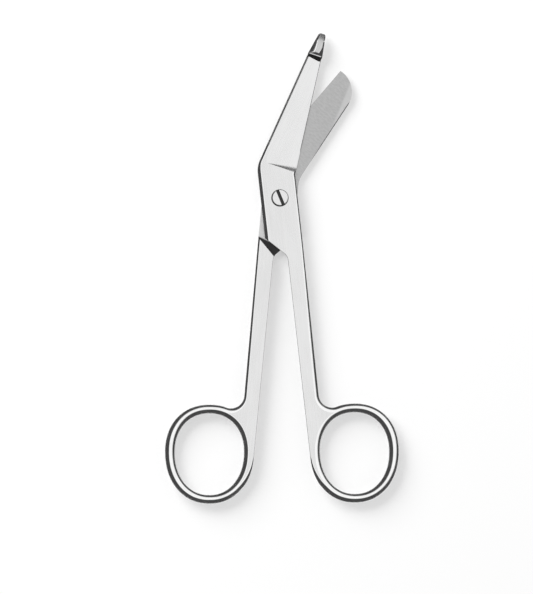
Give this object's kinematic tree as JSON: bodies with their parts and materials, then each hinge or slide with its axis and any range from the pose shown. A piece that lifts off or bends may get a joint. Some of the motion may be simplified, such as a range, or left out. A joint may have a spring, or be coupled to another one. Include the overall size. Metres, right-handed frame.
{
  "type": "bandage scissors",
  "caption": "Steel bandage scissors with angled blades, a blunt flattened probe on the longer blade, a slotted pivot screw at the lap joint and oval finger rings.",
  "frame": {"origin": "on the pivot's axis, in the plane that the scissors lie on (the flush end of the pivot screw)", "axes": "+Y from the finger rings to the blades, +Z along the pivot's axis towards the screw's head, +X towards the long half's finger ring"},
  "size_m": [0.0698, 0.14, 0.0045],
  "materials": {
    "satin_steel": "satin stainless steel, edges polished, inner blade faces finely cross ground",
    "screw_steel": "turned and polished stainless steel"
  },
  "bodies": {
    "short_half": {"short_blade_half": "satin_steel", "pivot_screw": "screw_steel"},
    "long_half": {"long_blade_half": "satin_steel"}
  },
  "joints": [
    {"name": "pivot", "type": "hinge", "parent": "short_half", "child": "long_half", "pos_m": [0, 0, 0.0022], "axis": [0, 0, 1], "range_deg": [-12, 105]}
  ]
}
